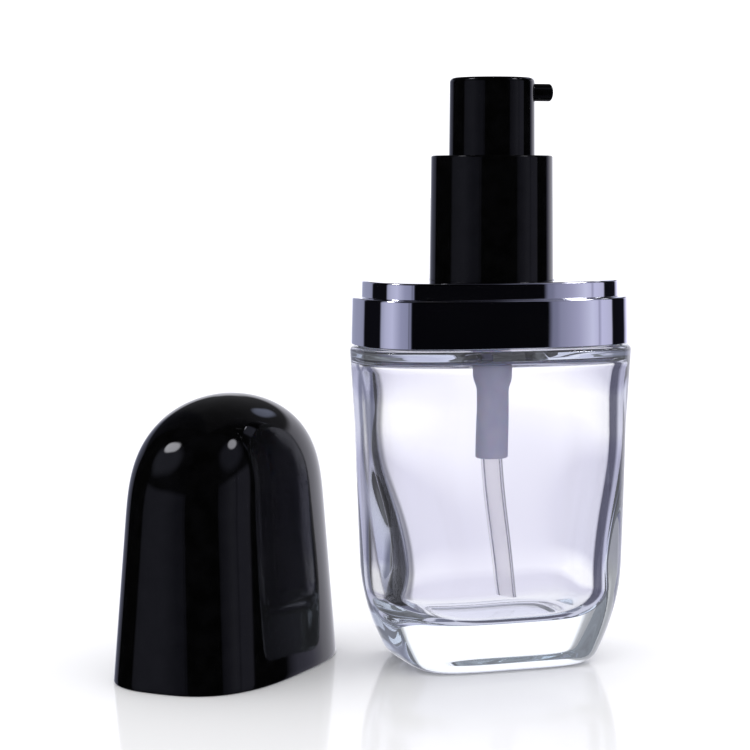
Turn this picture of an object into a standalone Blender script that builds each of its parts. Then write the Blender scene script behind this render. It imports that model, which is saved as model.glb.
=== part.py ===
"""A 30 ml foundation bottle: heavy glass body, two-tier plated collar, treatment pump and lift-off cap.

Frame: metres, +Z up. The origin is the centre of the glass base, +X runs along the wide side of the
bottle towards the nozzle, and the front of the bottle faces -Y. The cap is off, and stands beside it.
"""

import math

import bmesh
import bpy
from mathutils import Matrix, Vector

MM = 0.001

# Fineness of the solids: sides of an oval outline, a large round part, a small one and a tiny one.
OVAL_SIDES = 40
ROUND_SIDES = 32
SMALL_SIDES = 24
TINY_SIDES = 12
SMOOTH_BELOW = math.radians(35)
GAP = 0.1 * MM  # between pieces that touch on the real bottle

# Outline of the bottle seen from above: a superellipse.
COLLAR_HALF_WIDTH = 24.0 * MM
COLLAR_HALF_DEPTH = 14.43 * MM
OVAL_POWER = 2.82
BODY_DRAFT = 0.067  # half width lost per unit of height, on the glass and on the cap

# Glass body.
GLASS_HEIGHT = 54.4 * MM
GLASS_HALF_WIDTH = 24.2 * MM
GLASS_HALF_DEPTH = 15.0 * MM
GLASS_DEPTH_DRAFT = 0.013
GLASS_BASE_POWER = 4.4
GLASS_BASE_TUCK = (4.4 * MM, 1.7 * MM)  # how far the base draws in, sideways and front to back
GLASS_TUCK_HEIGHT = 17.0 * MM
GLASS_EDGE_RADIUS = 0.8 * MM
GLASS_FLOOR = 8.2 * MM
GLASS_CEILING = 52.6 * MM
GLASS_SIDE_WALL = (2.5 * MM, 4.1 * MM)  # at the shoulder and near the floor
GLASS_FACE_WALL = (2.4 * MM, 2.9 * MM)
CAVITY_CORNER_RADIUS = 5.0 * MM

# Glass neck, an 18 mm screw finish.
NECK_RADIUS = 7.8 * MM
NECK_BORE_RADIUS = 6.1 * MM
NECK_TOP = 70.0 * MM
BEAD_RADIUS = 8.5 * MM
BEAD_BOTTOM = 56.3 * MM
BEAD_TOP = 57.5 * MM
THREAD_PITCH = 3.175 * MM
THREAD_TURNS = 1.25
THREAD_START = 61.5 * MM
THREAD_CREST_RADIUS = 8.6 * MM
THREAD_WIDTHS = (1.5 * MM, 0.6 * MM)  # at the root and at the crest
THREAD_SINK = 0.3 * MM
THREAD_RUN_OUT = math.radians(30)

# Plated collar and the insert that holds it under the neck's bead.
COLLAR_BOTTOM = 54.7 * MM
LEDGE_HEIGHT = 62.7 * MM
COLLAR_TOP = 65.5 * MM
LEDGE_WIDTH = 1.69 * MM
COLLAR_WALL = 1.1 * MM
COLLAR_DRAFT = 0.15 * MM
COLLAR_EDGE = 0.35 * MM
COLLAR_HOLE_RADIUS = 10.95 * MM
INSERT_BOTTOM = 54.7 * MM
INSERT_FLOOR = 56.0 * MM
INSERT_HOLE_RADIUS = 8.2 * MM
INSERT_RING_RADIUS = 11.6 * MM
INSERT_TOP = 61.2 * MM
INSERT_SKIRT = 0.9 * MM

# Screw closure and the black sleeve pressed over it.
CLOSURE_RADIUS = 9.5 * MM
CLOSURE_BORE_RADIUS = 8.75 * MM
CLOSURE_CREST_RADIUS = 8.0 * MM
CLOSURE_RIDGE_WIDTHS = (1.2 * MM, 0.5 * MM)
CLOSURE_BOTTOM = 58.2 * MM
CLOSURE_TOP = 73.2 * MM
CLOSURE_LID = 1.2 * MM
CLOSURE_HOLE_RADIUS = 6.75 * MM
SLEEVE_BOTTOM = 58.0 * MM
SLEEVE_TOP = 86.6 * MM
SLEEVE_RADII = (10.64 * MM, 10.35 * MM)  # bottom and top
SLEEVE_BORE_RADIUS = 9.75 * MM
SLEEVE_LID = 1.2 * MM
SLEEVE_HOLE_RADIUS = 7.6 * MM
SLEEVE_EDGE = 0.3 * MM

# Pump engine.
GASKET_TOP = 70.9 * MM
FLANGE_BOTTOM = 71.0 * MM
FLANGE_TOP = 71.9 * MM
FLANGE_RADIUS = 7.7 * MM
BARREL_RADIUS = 5.4 * MM
BARREL_BOTTOM = 57.0 * MM
BARREL_TOP = 76.0 * MM
CHAMBER_RADIUS = 4.4 * MM
CHAMBER_FLOOR = 57.5 * MM
TAIL_RADII = (3.35 * MM, 2.75 * MM)
TAIL_HEIGHTS = (54.5 * MM, 48.4 * MM, 46.9 * MM, 34.9 * MM)
THROAT_RADIUS = 2.0 * MM
SEAT_TOP = 50.6 * MM
SEAT_BOTTOM = 49.6 * MM
INLET_RADIUS = 1.1 * MM
SOCKET_TOP = 47.6 * MM
SOCKET_RADIUS = 1.9 * MM
BALL_RADIUS = 1.6 * MM
BALL_HEIGHT = 50.84 * MM
BALL_STOP_RADIUS = 1.45 * MM
BALL_STOP = 53.8 * MM
GUIDE_RADIUS = 6.1 * MM
GUIDE_BORE_RADIUS = 2.8 * MM
GUIDE_BOTTOM = 72.1 * MM
GUIDE_PLUG_BOTTOM = 72.8 * MM
GUIDE_TOP = 77.5 * MM
GUIDE_TOWER_TOP = 79.5 * MM

# Stem, piston and spring.
STEM_RADII = (2.1 * MM, 2.6 * MM)  # below and above its shoulder
STEM_BORE_RADIUS = 1.1 * MM
STEM_BOTTOM = 68.7 * MM
STEM_SHOULDER = 73.3 * MM
STEM_NECK = 84.0 * MM
STEM_TOP = 92.0 * MM
PORT_RADIUS = 0.4 * MM
PORT_HEIGHT = 69.9 * MM
VALVE_BOTTOM = 67.3 * MM
VALVE_TOP = 68.5 * MM
VALVE_RADIUS = 4.0 * MM
PISTON_BOTTOM = 68.7 * MM
PISTON_TOP = 72.5 * MM
PISTON_HUB_RADIUS = 3.1 * MM
SPRING_MEAN_RADIUS = 3.5 * MM
SPRING_WIRE_RADIUS = 0.3 * MM
SPRING_BOTTOM = 57.7 * MM
SPRING_TOP = 67.2 * MM
SPRING_COILS = 6

# Dip tube: straight in its socket, then leaning towards +X under its own set.
TUBE_RADIUS = 1.8 * MM
TUBE_BORE_RADIUS = 1.25 * MM
TUBE_TOP = 47.4 * MM
TUBE_BOTTOM = 10.4 * MM
TUBE_LEAN = 2.6 * MM
TUBE_CUT = 1.2 * MM  # height of the slanted cut across the end

# Actuator.
ACTUATOR_BOTTOM = 80.0 * MM
ACTUATOR_TOP = 99.7 * MM
ACTUATOR_RADII = (7.35 * MM, 7.2 * MM)  # bottom and top
ACTUATOR_BORE_RADIUS = 6.4 * MM
ACTUATOR_LID = 0.75 * MM
ACTUATOR_EDGE = 0.8 * MM
NOZZLE_HEIGHT = 97.3 * MM
NOZZLE_RADIUS = 1.5 * MM
NOZZLE_HOLE_RADIUS = 1.65 * MM
NOZZLE_BORE_RADIUS = 0.55 * MM
NOZZLE_START = 6.2 * MM
NOZZLE_END = 10.75 * MM
NOZZLE_EDGE = 0.4 * MM
NOZZLE_SPIGOT_START = 4.4 * MM
NOZZLE_SPIGOT_RADIUS = 0.85 * MM
CORE_RADIUS = 3.6 * MM
CORE_BOTTOM = 84.6 * MM
CORE_TOP = 98.7 * MM
CORE_SOCKET_RADIUS = 2.25 * MM
CORE_SOCKET_TOP = 92.3 * MM
CORE_CHANNEL_RADIUS = 0.95 * MM
CORE_ARM_RADIUS = 1.4 * MM
CORE_ARM_END = 6.1 * MM
CORE_FIN_HEIGHTS = (86.0 * MM, 98.3 * MM)
CORE_FIN_THICKNESS = 0.8 * MM

# Cap, which stands on the table beside the bottle, turned round its own axis.
CAP_CENTRE = (-44.6 * MM, 8.3 * MM)
CAP_TURN = math.radians(46.5)
CAP_HEIGHT = 46.6 * MM
CAP_DEPTH_DRAFT = 0.058
CROWN_START = (26.5 * MM, 29.0 * MM)  # where the crown begins, in width and in depth
CROWN_POWER = (2.7, 3.1)
CROWN_OVAL_POWER = 2.4
CAP_WALL = 1.4 * MM
CAP_CROWN_WALL = 2.2 * MM
LINER_BOTTOM = 3.2 * MM
LINER_FLOOR = 4.4 * MM
LINER_TOP = 20.0 * MM
LINER_BORE_RADIUS = 10.9 * MM
LINER_RADIUS = 11.5 * MM
LINER_BEAD = 0.15 * MM


# Building tools.


def clear_scene():
    for obj in list(bpy.data.objects):
        bpy.data.objects.remove(obj)


def finish(name, bm, material, smooth=True):
    """The closed mesh as an object of the scene."""
    bmesh.ops.remove_doubles(bm, verts=bm.verts, dist=1e-7)
    bmesh.ops.recalc_face_normals(bm, faces=bm.faces)
    mesh = bpy.data.meshes.new(name)
    bm.to_mesh(mesh)
    bm.free()
    if smooth:
        mesh.shade_smooth()
        mesh.set_sharp_from_angle(angle=SMOOTH_BELOW)
    mesh.materials.append(material)
    obj = bpy.data.objects.new(name, mesh)
    bpy.context.collection.objects.link(obj)
    return obj


def oval(half_width, half_depth, power, z, sides=OVAL_SIDES):
    """One level superellipse outline, as a list of points."""
    points = []
    for i in range(sides):
        c = math.cos(2 * math.pi * i / sides)
        s = math.sin(2 * math.pi * i / sides)
        x = half_width * math.copysign(abs(c) ** (2 / power), c)
        y = half_depth * math.copysign(abs(s) ** (2 / power), s)
        points.append(Vector((x, y, z)))
    return points


def circle(radius, z, sides=OVAL_SIDES):
    return oval(radius, radius, 2.0, z, sides)


def loft(name, rings, material, closed=False):
    """A solid skinned over rings of equal count. Open lofts end in flat faces; closed ones join up."""
    bm = bmesh.new()
    loops = [[bm.verts.new(point) for point in ring] for ring in rings]
    count = len(rings[0])
    pairs = list(zip(loops, loops[1:]))
    if closed:
        pairs.append((loops[-1], loops[0]))
    else:
        bm.faces.new(loops[0])
        bm.faces.new(loops[-1])
    for lower, upper in pairs:
        for i in range(count):
            j = (i + 1) % count
            bm.faces.new((lower[i], lower[j], upper[j], upper[i]))
    return finish(name, bm, material)


def turned(name, profile, material, sides=ROUND_SIDES):
    """A solid spun about Z from a closed profile of (radius, height) points."""
    bm = bmesh.new()
    verts = [bm.verts.new((radius, 0, z)) for radius, z in profile]
    edges = [bm.edges.new((a, b)) for a, b in zip(verts, verts[1:] + verts[:1])]
    bmesh.ops.spin(
        bm, geom=verts + edges, cent=(0, 0, 0), axis=(0, 0, 1),
        angle=2 * math.pi, steps=sides, use_merge=True,
    )
    bmesh.ops.remove_doubles(bm, verts=bm.verts, dist=1e-7)
    bmesh.ops.dissolve_degenerate(bm, edges=bm.edges, dist=1e-7)
    return finish(name, bm, material)


def arc(centre, radius, start, end, steps=3):
    """Points (radius, height) of a round corner; angles in degrees, from the +radius direction."""
    angles = [math.radians(start + (end - start) * i / steps) for i in range(steps + 1)]
    return [(centre[0] + radius * math.cos(a), centre[1] + radius * math.sin(a)) for a in angles]


def swept(name, path, radius_of, material, sides, bore_of=None):
    """A rod along a path, or with bore_of a tube. radius_of and bore_of give the radius at each index."""
    frames = []
    start = (path[1] - path[0]).normalized()
    side = min((Vector((1, 0, 0)), Vector((0, 1, 0))), key=lambda axis: abs(axis.dot(start)))
    for i, point in enumerate(path):
        along = (path[min(i + 1, len(path) - 1)] - path[max(i - 1, 0)]).normalized()
        side = (side - along * side.dot(along)).normalized()
        frames.append((point, side.copy(), along.cross(side)))

    def loop(index, radius):
        point, u, v = frames[index]
        angles = [2 * math.pi * k / sides for k in range(sides)]
        return [point + (u * math.cos(a) + v * math.sin(a)) * radius for a in angles]

    rings = [loop(i, radius_of(i)) for i in range(len(path))]
    if bore_of is None:
        return loft(name, rings, material)
    rings += [loop(i, bore_of(i)) for i in reversed(range(len(path)))]
    return loft(name, rings, material, closed=True)


def helical_ridge(name, material, root_radius, crest_radius, widths, start, sides=ROUND_SIDES):
    """A right-hand thread ridge of THREAD_TURNS, which fades out at both ends. Its root is sunk."""
    outward = math.copysign(1, crest_radius - root_radius)
    steps = round(THREAD_TURNS * sides)
    rings = []
    for i in range(steps + 1):
        angle = 2 * math.pi * THREAD_TURNS * i / steps
        run_out = min(angle, 2 * math.pi * THREAD_TURNS - angle) / THREAD_RUN_OUT
        crest = root_radius + (crest_radius - root_radius) * min(1.0, 0.05 + run_out)
        z = start + THREAD_PITCH * angle / (2 * math.pi)
        sunk = root_radius - outward * THREAD_SINK
        section = [
            (sunk, -widths[0] / 2), (crest, -widths[1] / 2),
            (crest, widths[1] / 2), (sunk, widths[0] / 2),
        ]
        rings.append([
            Vector((r * math.cos(angle), r * math.sin(angle), z + dz)) for r, dz in section
        ])
    return loft(name, rings, material)


def along_x(name, start, end, radius, z, material, sides=SMALL_SIDES):
    path = [Vector((start, 0, z)), Vector((end, 0, z))]
    return swept(name, path, lambda index: radius, material, sides)


def block(name, size, centre, turn, material):
    """A box of this size whose centre is turned about Z with it."""
    bm = bmesh.new()
    bmesh.ops.create_cube(bm, size=1.0)
    bmesh.ops.scale(bm, vec=size, verts=bm.verts)
    bmesh.ops.translate(bm, vec=centre, verts=bm.verts)
    bmesh.ops.rotate(bm, cent=(0, 0, 0), matrix=Matrix.Rotation(turn, 3, "Z"), verts=bm.verts)
    return finish(name, bm, material, smooth=False)


def combine(target, tool, operation):
    """Adds a Boolean to target, and keeps its tool out of the model."""
    modifier = target.modifiers.new(operation.lower(), "BOOLEAN")
    modifier.operation = operation
    modifier.solver = "EXACT"
    modifier.object = tool
    tool.hide_render = True
    tool.display_type = "WIRE"


def plastic(name, colour, roughness, metallic=0.0, alpha=1.0):
    """A Principled material of one finish."""
    material = bpy.data.materials.new(name)
    material.use_nodes = True
    shader = material.node_tree.nodes["Principled BSDF"]
    shader.inputs["Base Color"].default_value = (*colour, 1.0)
    shader.inputs["Roughness"].default_value = roughness
    shader.inputs["Metallic"].default_value = metallic
    shader.inputs["Alpha"].default_value = alpha
    material.diffuse_color = (*colour, alpha)
    return material


# Shape rules.


def glass_outline(z):
    """Half width, half depth and power of the glass body's outside at a height."""
    tuck = max(0.0, 1 - z / GLASS_TUCK_HEIGHT) ** 2
    drop = GLASS_HEIGHT - z
    half_width = GLASS_HALF_WIDTH - BODY_DRAFT * drop - GLASS_BASE_TUCK[0] * tuck
    half_depth = GLASS_HALF_DEPTH - GLASS_DEPTH_DRAFT * drop - GLASS_BASE_TUCK[1] * tuck
    rise = min(1.0, z / (0.75 * GLASS_HEIGHT))
    power = GLASS_BASE_POWER + (OVAL_POWER - GLASS_BASE_POWER) * rise
    return half_width, half_depth, power


def cavity_outline(z):
    """The same for the inside of the glass body, above its rounded floor corners."""
    half_width, half_depth, power = glass_outline(max(z, GLASS_TUCK_HEIGHT))
    low = (GLASS_CEILING - z) / (GLASS_CEILING - GLASS_FLOOR)
    side = GLASS_SIDE_WALL[0] + (GLASS_SIDE_WALL[1] - GLASS_SIDE_WALL[0]) * low
    face = GLASS_FACE_WALL[0] + (GLASS_FACE_WALL[1] - GLASS_FACE_WALL[0]) * low
    return half_width - side, half_depth - face, power


def inset_oval(outline, z, inset):
    half_width, half_depth, power = outline
    return oval(half_width - inset, half_depth - inset, power, z)


def crown(z, start, power, height):
    """Share of its full size that the cap keeps at this height."""
    rise = max(0.0, (z - start) / (height - start))
    return math.sqrt(max(0.0, 1 - rise**power))


def cap_ring(z, wall, height):
    """Outline of the cap's surface at this height, its walls this much inside the outer one."""
    half_width = COLLAR_HALF_WIDTH - BODY_DRAFT * z - wall
    half_depth = COLLAR_HALF_DEPTH - CAP_DEPTH_DRAFT * z - wall
    half_width *= crown(z, CROWN_START[0], CROWN_POWER[0], height)
    half_depth *= crown(z, CROWN_START[1], CROWN_POWER[1], height)
    power = OVAL_POWER + (CROWN_OVAL_POWER - OVAL_POWER) * z / height
    return oval(half_width, half_depth, power, z)


# Sub-parts on the bottle.


def glass_bottle(material):
    """Body, shoulder, screw neck and cavity in one piece of glass, drawn from the base up and back in."""
    rings = []
    edge = GLASS_EDGE_RADIUS
    for angle in (0, 45):
        back = 1 - math.sin(math.radians(angle))
        z = edge * (1 - math.cos(math.radians(angle)))
        rings.append(inset_oval(glass_outline(z), z, edge * back))
    for z in (0.8, 3, 6, 9, 12.5, 17, 26, 40, 53.6):
        rings.append(inset_oval(glass_outline(z * MM), z * MM, 0))
    for angle in (45, 90):
        back = 1 - math.cos(math.radians(angle))
        z = GLASS_HEIGHT - edge + edge * math.sin(math.radians(angle))
        rings.append(inset_oval(glass_outline(z), z, edge * back))
    neck = [
        (NECK_RADIUS + 0.3 * MM, GLASS_HEIGHT), (NECK_RADIUS, GLASS_HEIGHT + 0.3 * MM),
        (NECK_RADIUS, BEAD_BOTTOM), (BEAD_RADIUS, BEAD_BOTTOM + 0.3 * MM),
        (BEAD_RADIUS, BEAD_TOP - 0.4 * MM), (NECK_RADIUS, BEAD_TOP),
        (NECK_RADIUS, NECK_TOP - 0.4 * MM), (NECK_RADIUS - 0.4 * MM, NECK_TOP),
        (NECK_BORE_RADIUS + 0.3 * MM, NECK_TOP), (NECK_BORE_RADIUS, NECK_TOP - 0.4 * MM),
        (NECK_BORE_RADIUS, GLASS_CEILING + 1.4 * MM),
        (NECK_BORE_RADIUS + 1.0 * MM, GLASS_CEILING + 0.3 * MM),
    ]
    rings += [circle(radius, z) for radius, z in neck]
    rings.append(inset_oval(cavity_outline(GLASS_CEILING), GLASS_CEILING, 1.6 * MM))
    rings.append(inset_oval(cavity_outline(52.1 * MM), 52.1 * MM, 0.5 * MM))
    for z in (51.0, 36, 24, 13.2):
        rings.append(inset_oval(cavity_outline(z * MM), z * MM, 0))
    corner = CAVITY_CORNER_RADIUS
    for angle in (30, 60, 90):
        back = corner * (1 - math.cos(math.radians(angle)))
        z = GLASS_FLOOR + corner * (1 - math.sin(math.radians(angle)))
        half_width, half_depth, power = cavity_outline(z)
        rings.append(oval(half_width - 1.2 * back, half_depth - 0.5 * back, power, z))
    glass = loft("glass_bottle", rings, material)
    thread = helical_ridge(
        "cut_neck_thread", material, NECK_RADIUS, THREAD_CREST_RADIUS, THREAD_WIDTHS, THREAD_START
    )
    combine(glass, thread, "UNION")
    return glass


def collar_shell(material):
    """The plated two-tier collar, open below, with a round hole for the sleeve."""

    def at(z, inset):
        return oval(COLLAR_HALF_WIDTH - inset, COLLAR_HALF_DEPTH - inset, OVAL_POWER, z)

    edge = COLLAR_EDGE
    wall = COLLAR_WALL
    rings = [
        at(COLLAR_BOTTOM, 0),
        at(LEDGE_HEIGHT - edge, COLLAR_DRAFT),
        at(LEDGE_HEIGHT, COLLAR_DRAFT + edge),
        at(LEDGE_HEIGHT, LEDGE_WIDTH),
        at(COLLAR_TOP - edge, LEDGE_WIDTH + 0.05 * MM),
        at(COLLAR_TOP, LEDGE_WIDTH + 0.05 * MM + edge),
        circle(COLLAR_HOLE_RADIUS, COLLAR_TOP),
        circle(COLLAR_HOLE_RADIUS, COLLAR_TOP - wall),
        at(COLLAR_TOP - wall, LEDGE_WIDTH + wall),
        at(LEDGE_HEIGHT - wall, LEDGE_WIDTH + wall),
        at(LEDGE_HEIGHT - wall, wall + COLLAR_DRAFT),
        at(COLLAR_BOTTOM, wall),
    ]
    return loft("collar_shell", rings, material, closed=True)


def collar_insert(material):
    """The tray inside the collar: it clips under the neck's bead, and its skirt carries the shell."""
    outer = COLLAR_WALL + COLLAR_DRAFT + 2 * GAP

    def at(z, inset):
        return oval(COLLAR_HALF_WIDTH - inset, COLLAR_HALF_DEPTH - inset, OVAL_POWER, z)

    rings = [
        at(INSERT_BOTTOM, outer),
        at(INSERT_TOP, outer),
        at(INSERT_TOP, outer + INSERT_SKIRT),
        at(INSERT_FLOOR, outer + INSERT_SKIRT),
        circle(INSERT_RING_RADIUS, INSERT_FLOOR),
        circle(INSERT_RING_RADIUS, INSERT_TOP),
        circle(COLLAR_HOLE_RADIUS, INSERT_TOP),
        circle(COLLAR_HOLE_RADIUS, INSERT_FLOOR),
        circle(INSERT_HOLE_RADIUS, INSERT_FLOOR),
        circle(INSERT_HOLE_RADIUS + GAP, INSERT_BOTTOM),
    ]
    return loft("collar_insert", rings, material, closed=True)


def screw_closure(material):
    """The threaded ring that clamps the pump on the neck."""
    lid_bottom = CLOSURE_TOP - CLOSURE_LID
    profile = [
        (CLOSURE_BORE_RADIUS, CLOSURE_BOTTOM), (CLOSURE_RADIUS, CLOSURE_BOTTOM),
        (CLOSURE_RADIUS, CLOSURE_TOP - 0.3 * MM), (CLOSURE_RADIUS - 0.3 * MM, CLOSURE_TOP),
        (CLOSURE_HOLE_RADIUS, CLOSURE_TOP), (CLOSURE_HOLE_RADIUS, lid_bottom),
        (CLOSURE_BORE_RADIUS, lid_bottom),
    ]
    closure = turned("screw_closure", profile, material, ROUND_SIDES)
    ridge = helical_ridge(
        "cut_closure_ridge", material, CLOSURE_BORE_RADIUS, CLOSURE_CREST_RADIUS,
        CLOSURE_RIDGE_WIDTHS, THREAD_START - THREAD_PITCH / 2,
    )
    combine(closure, ridge, "UNION")
    return closure


def sleeve_cover(material):
    """The black outer tube, with the lid that the actuator slides through."""
    bottom, top = SLEEVE_RADII
    edge = SLEEVE_EDGE
    profile = [
        (SLEEVE_BORE_RADIUS, SLEEVE_BOTTOM), (bottom - edge, SLEEVE_BOTTOM), (bottom, SLEEVE_BOTTOM + edge),
        (top, SLEEVE_TOP - edge), (top - edge, SLEEVE_TOP),
        (SLEEVE_HOLE_RADIUS, SLEEVE_TOP), (SLEEVE_HOLE_RADIUS, SLEEVE_TOP - SLEEVE_LID),
        (SLEEVE_BORE_RADIUS, SLEEVE_TOP - SLEEVE_LID),
    ]
    return turned("sleeve_cover", profile, material, OVAL_SIDES)


# Pump engine.


def neck_gasket(material):
    inner = NECK_BORE_RADIUS + GAP
    outer = FLANGE_RADIUS
    bottom = NECK_TOP + GAP
    profile = [(inner, bottom), (outer, bottom), (outer, GASKET_TOP), (inner, GASKET_TOP)]
    return turned("neck_gasket", profile, material)


def pump_housing(material):
    """Barrel with its clamping flange, valve throat and the tail that grips the dip tube."""
    cone, tail_top, tail_cone, bottom = TAIL_HEIGHTS
    profile = [
        (SOCKET_RADIUS, bottom), (TAIL_RADII[1], bottom), (TAIL_RADII[1], tail_cone),
        (TAIL_RADII[0], tail_top), (TAIL_RADII[0], cone), (BARREL_RADIUS, BARREL_BOTTOM),
        (BARREL_RADIUS, FLANGE_BOTTOM), (FLANGE_RADIUS, FLANGE_BOTTOM), (FLANGE_RADIUS, FLANGE_TOP),
        (BARREL_RADIUS, FLANGE_TOP), (BARREL_RADIUS, BARREL_TOP), (CHAMBER_RADIUS, BARREL_TOP),
        (CHAMBER_RADIUS, CHAMBER_FLOOR), (THROAT_RADIUS, CHAMBER_FLOOR),
        (THROAT_RADIUS, BALL_STOP + 0.6 * MM), (BALL_STOP_RADIUS, BALL_STOP),
        (THROAT_RADIUS, BALL_STOP - 0.2 * MM), (THROAT_RADIUS, SEAT_TOP),
        (INLET_RADIUS, SEAT_BOTTOM), (INLET_RADIUS, SOCKET_TOP), (SOCKET_RADIUS, SOCKET_TOP),
    ]
    return turned("pump_housing", profile, material, SMALL_SIDES)


def stem_guide(material):
    """The cap that snaps on the barrel, and stops and guides the stem."""
    skirt = BARREL_RADIUS + 2 * GAP
    plug = CHAMBER_RADIUS - 2 * GAP
    lid = BARREL_TOP + 2 * GAP
    profile = [
        (skirt, GUIDE_BOTTOM), (GUIDE_RADIUS, GUIDE_BOTTOM), (GUIDE_RADIUS, GUIDE_TOP),
        (4.2 * MM, GUIDE_TOP), (4.0 * MM, GUIDE_TOWER_TOP), (GUIDE_BORE_RADIUS, GUIDE_TOWER_TOP),
        (GUIDE_BORE_RADIUS, GUIDE_PLUG_BOTTOM), (plug, GUIDE_PLUG_BOTTOM), (plug, lid), (skirt, lid),
    ]
    return turned("stem_guide", profile, material, SMALL_SIDES)


def dip_tube(material):
    """A tube that leans towards +X below its socket, with a slanted end."""
    steps = 9
    socket_end = TAIL_HEIGHTS[3]
    path = [Vector((0, 0, TUBE_TOP))]
    for i in range(steps + 1):
        share = i / steps
        z = socket_end + (TUBE_BOTTOM - socket_end) * share
        path.append(Vector((TUBE_LEAN * (0.75 * share + 0.25 * share**2), 0, z)))
    tube = swept(
        "dip_tube", path, lambda index: TUBE_RADIUS, material, TINY_SIDES, lambda index: TUBE_BORE_RADIUS
    )
    # The end is cut on the slant, by lifting one side of its last ring.
    for vert in tube.data.vertices:
        if vert.co.z < TUBE_BOTTOM + 0.5 * MM:
            across = (vert.co.x - TUBE_LEAN) / TUBE_RADIUS
            vert.co.z += TUBE_CUT * (1 - across) / 2
    return tube


def inlet_ball(material):
    bm = bmesh.new()
    bmesh.ops.create_uvsphere(bm, u_segments=12, v_segments=8, radius=BALL_RADIUS)
    ball = finish("inlet_ball", bm, material)
    ball.location = (0, 0, BALL_HEIGHT)
    return ball


def return_spring(material):
    """A compression spring with closed end coils."""
    per_coil = 12
    count = SPRING_COILS * per_coil
    path = []
    for i in range(count + 1):
        share = i / count
        angle = 2 * math.pi * SPRING_COILS * share
        # The pitch eases to nothing over the first and last coil.
        closed = 1 / SPRING_COILS
        lift = min(max((share - closed / 2) / (1 - closed), 0), 1)
        z = SPRING_BOTTOM + SPRING_WIRE_RADIUS
        z += (SPRING_TOP - SPRING_BOTTOM - 2 * SPRING_WIRE_RADIUS) * (0.12 * share + 0.88 * lift)
        path.append(Vector((SPRING_MEAN_RADIUS * math.cos(angle), SPRING_MEAN_RADIUS * math.sin(angle), z)))
    return swept("return_spring", path, lambda index: SPRING_WIRE_RADIUS, material, 6)


def stem(material):
    """The hollow rod from the piston up into the actuator, with its inlet ports."""
    low, high = STEM_RADII
    profile = [
        (STEM_BORE_RADIUS, STEM_BOTTOM), (low, STEM_BOTTOM), (low, STEM_SHOULDER), (high, STEM_SHOULDER),
        (high, STEM_NECK), (low, STEM_NECK + 0.3 * MM), (low, STEM_TOP), (STEM_BORE_RADIUS, STEM_TOP),
    ]
    rod = turned("stem", profile, material, SMALL_SIDES)
    port = along_x("cut_stem_ports", -3 * MM, 3 * MM, PORT_RADIUS, PORT_HEIGHT, material, TINY_SIDES)
    combine(rod, port, "DIFFERENCE")
    return rod


def stem_valve(material):
    """The disc under the stem: the spring lifts it, and the piston seals on its top."""
    spigot = STEM_BORE_RADIUS - GAP
    profile = [
        (0, VALVE_BOTTOM), (VALVE_RADIUS, VALVE_BOTTOM), (VALVE_RADIUS, VALVE_TOP - 0.3 * MM),
        (VALVE_RADIUS - 0.3 * MM, VALVE_TOP), (spigot, VALVE_TOP), (spigot, VALVE_TOP + 0.8 * MM),
        (0, VALVE_TOP + 0.8 * MM),
    ]
    return turned("stem_valve", profile, material, SMALL_SIDES)


def piston_seal(material):
    """A soft ring with two wiping lips."""
    bore = STEM_RADII[0] + GAP
    lip = CHAMBER_RADIUS - GAP
    waist = PISTON_HUB_RADIUS
    profile = [
        (bore, PISTON_BOTTOM), (waist + 0.4 * MM, PISTON_BOTTOM), (lip, PISTON_BOTTOM + 0.1 * MM),
        (lip - 0.3 * MM, PISTON_BOTTOM + 1.0 * MM), (waist, PISTON_BOTTOM + 1.3 * MM),
        (waist, PISTON_TOP - 1.3 * MM), (lip - 0.3 * MM, PISTON_TOP - 1.0 * MM),
        (lip, PISTON_TOP - 0.1 * MM), (waist + 0.4 * MM, PISTON_TOP), (bore, PISTON_TOP),
    ]
    return turned("piston_seal", profile, material, SMALL_SIDES)


# Actuator.


def actuator_shell(material):
    """The button that is pressed: a drafted cup with a round hole for the nozzle."""
    bottom, top = ACTUATOR_RADII
    edge = ACTUATOR_EDGE
    profile = [
        (ACTUATOR_BORE_RADIUS, ACTUATOR_BOTTOM), (bottom, ACTUATOR_BOTTOM),
        *arc((top - edge, ACTUATOR_TOP - edge), edge, 0, 90),
        (0, ACTUATOR_TOP), (0, ACTUATOR_TOP - ACTUATOR_LID),
        (ACTUATOR_BORE_RADIUS, ACTUATOR_TOP - ACTUATOR_LID),
    ]
    shell = turned("actuator_shell", profile, material, ROUND_SIDES)
    hole = along_x("cut_nozzle_hole", 4 * MM, 9 * MM, NOZZLE_HOLE_RADIUS, NOZZLE_HEIGHT, material)
    combine(shell, hole, "DIFFERENCE")
    return shell


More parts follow.
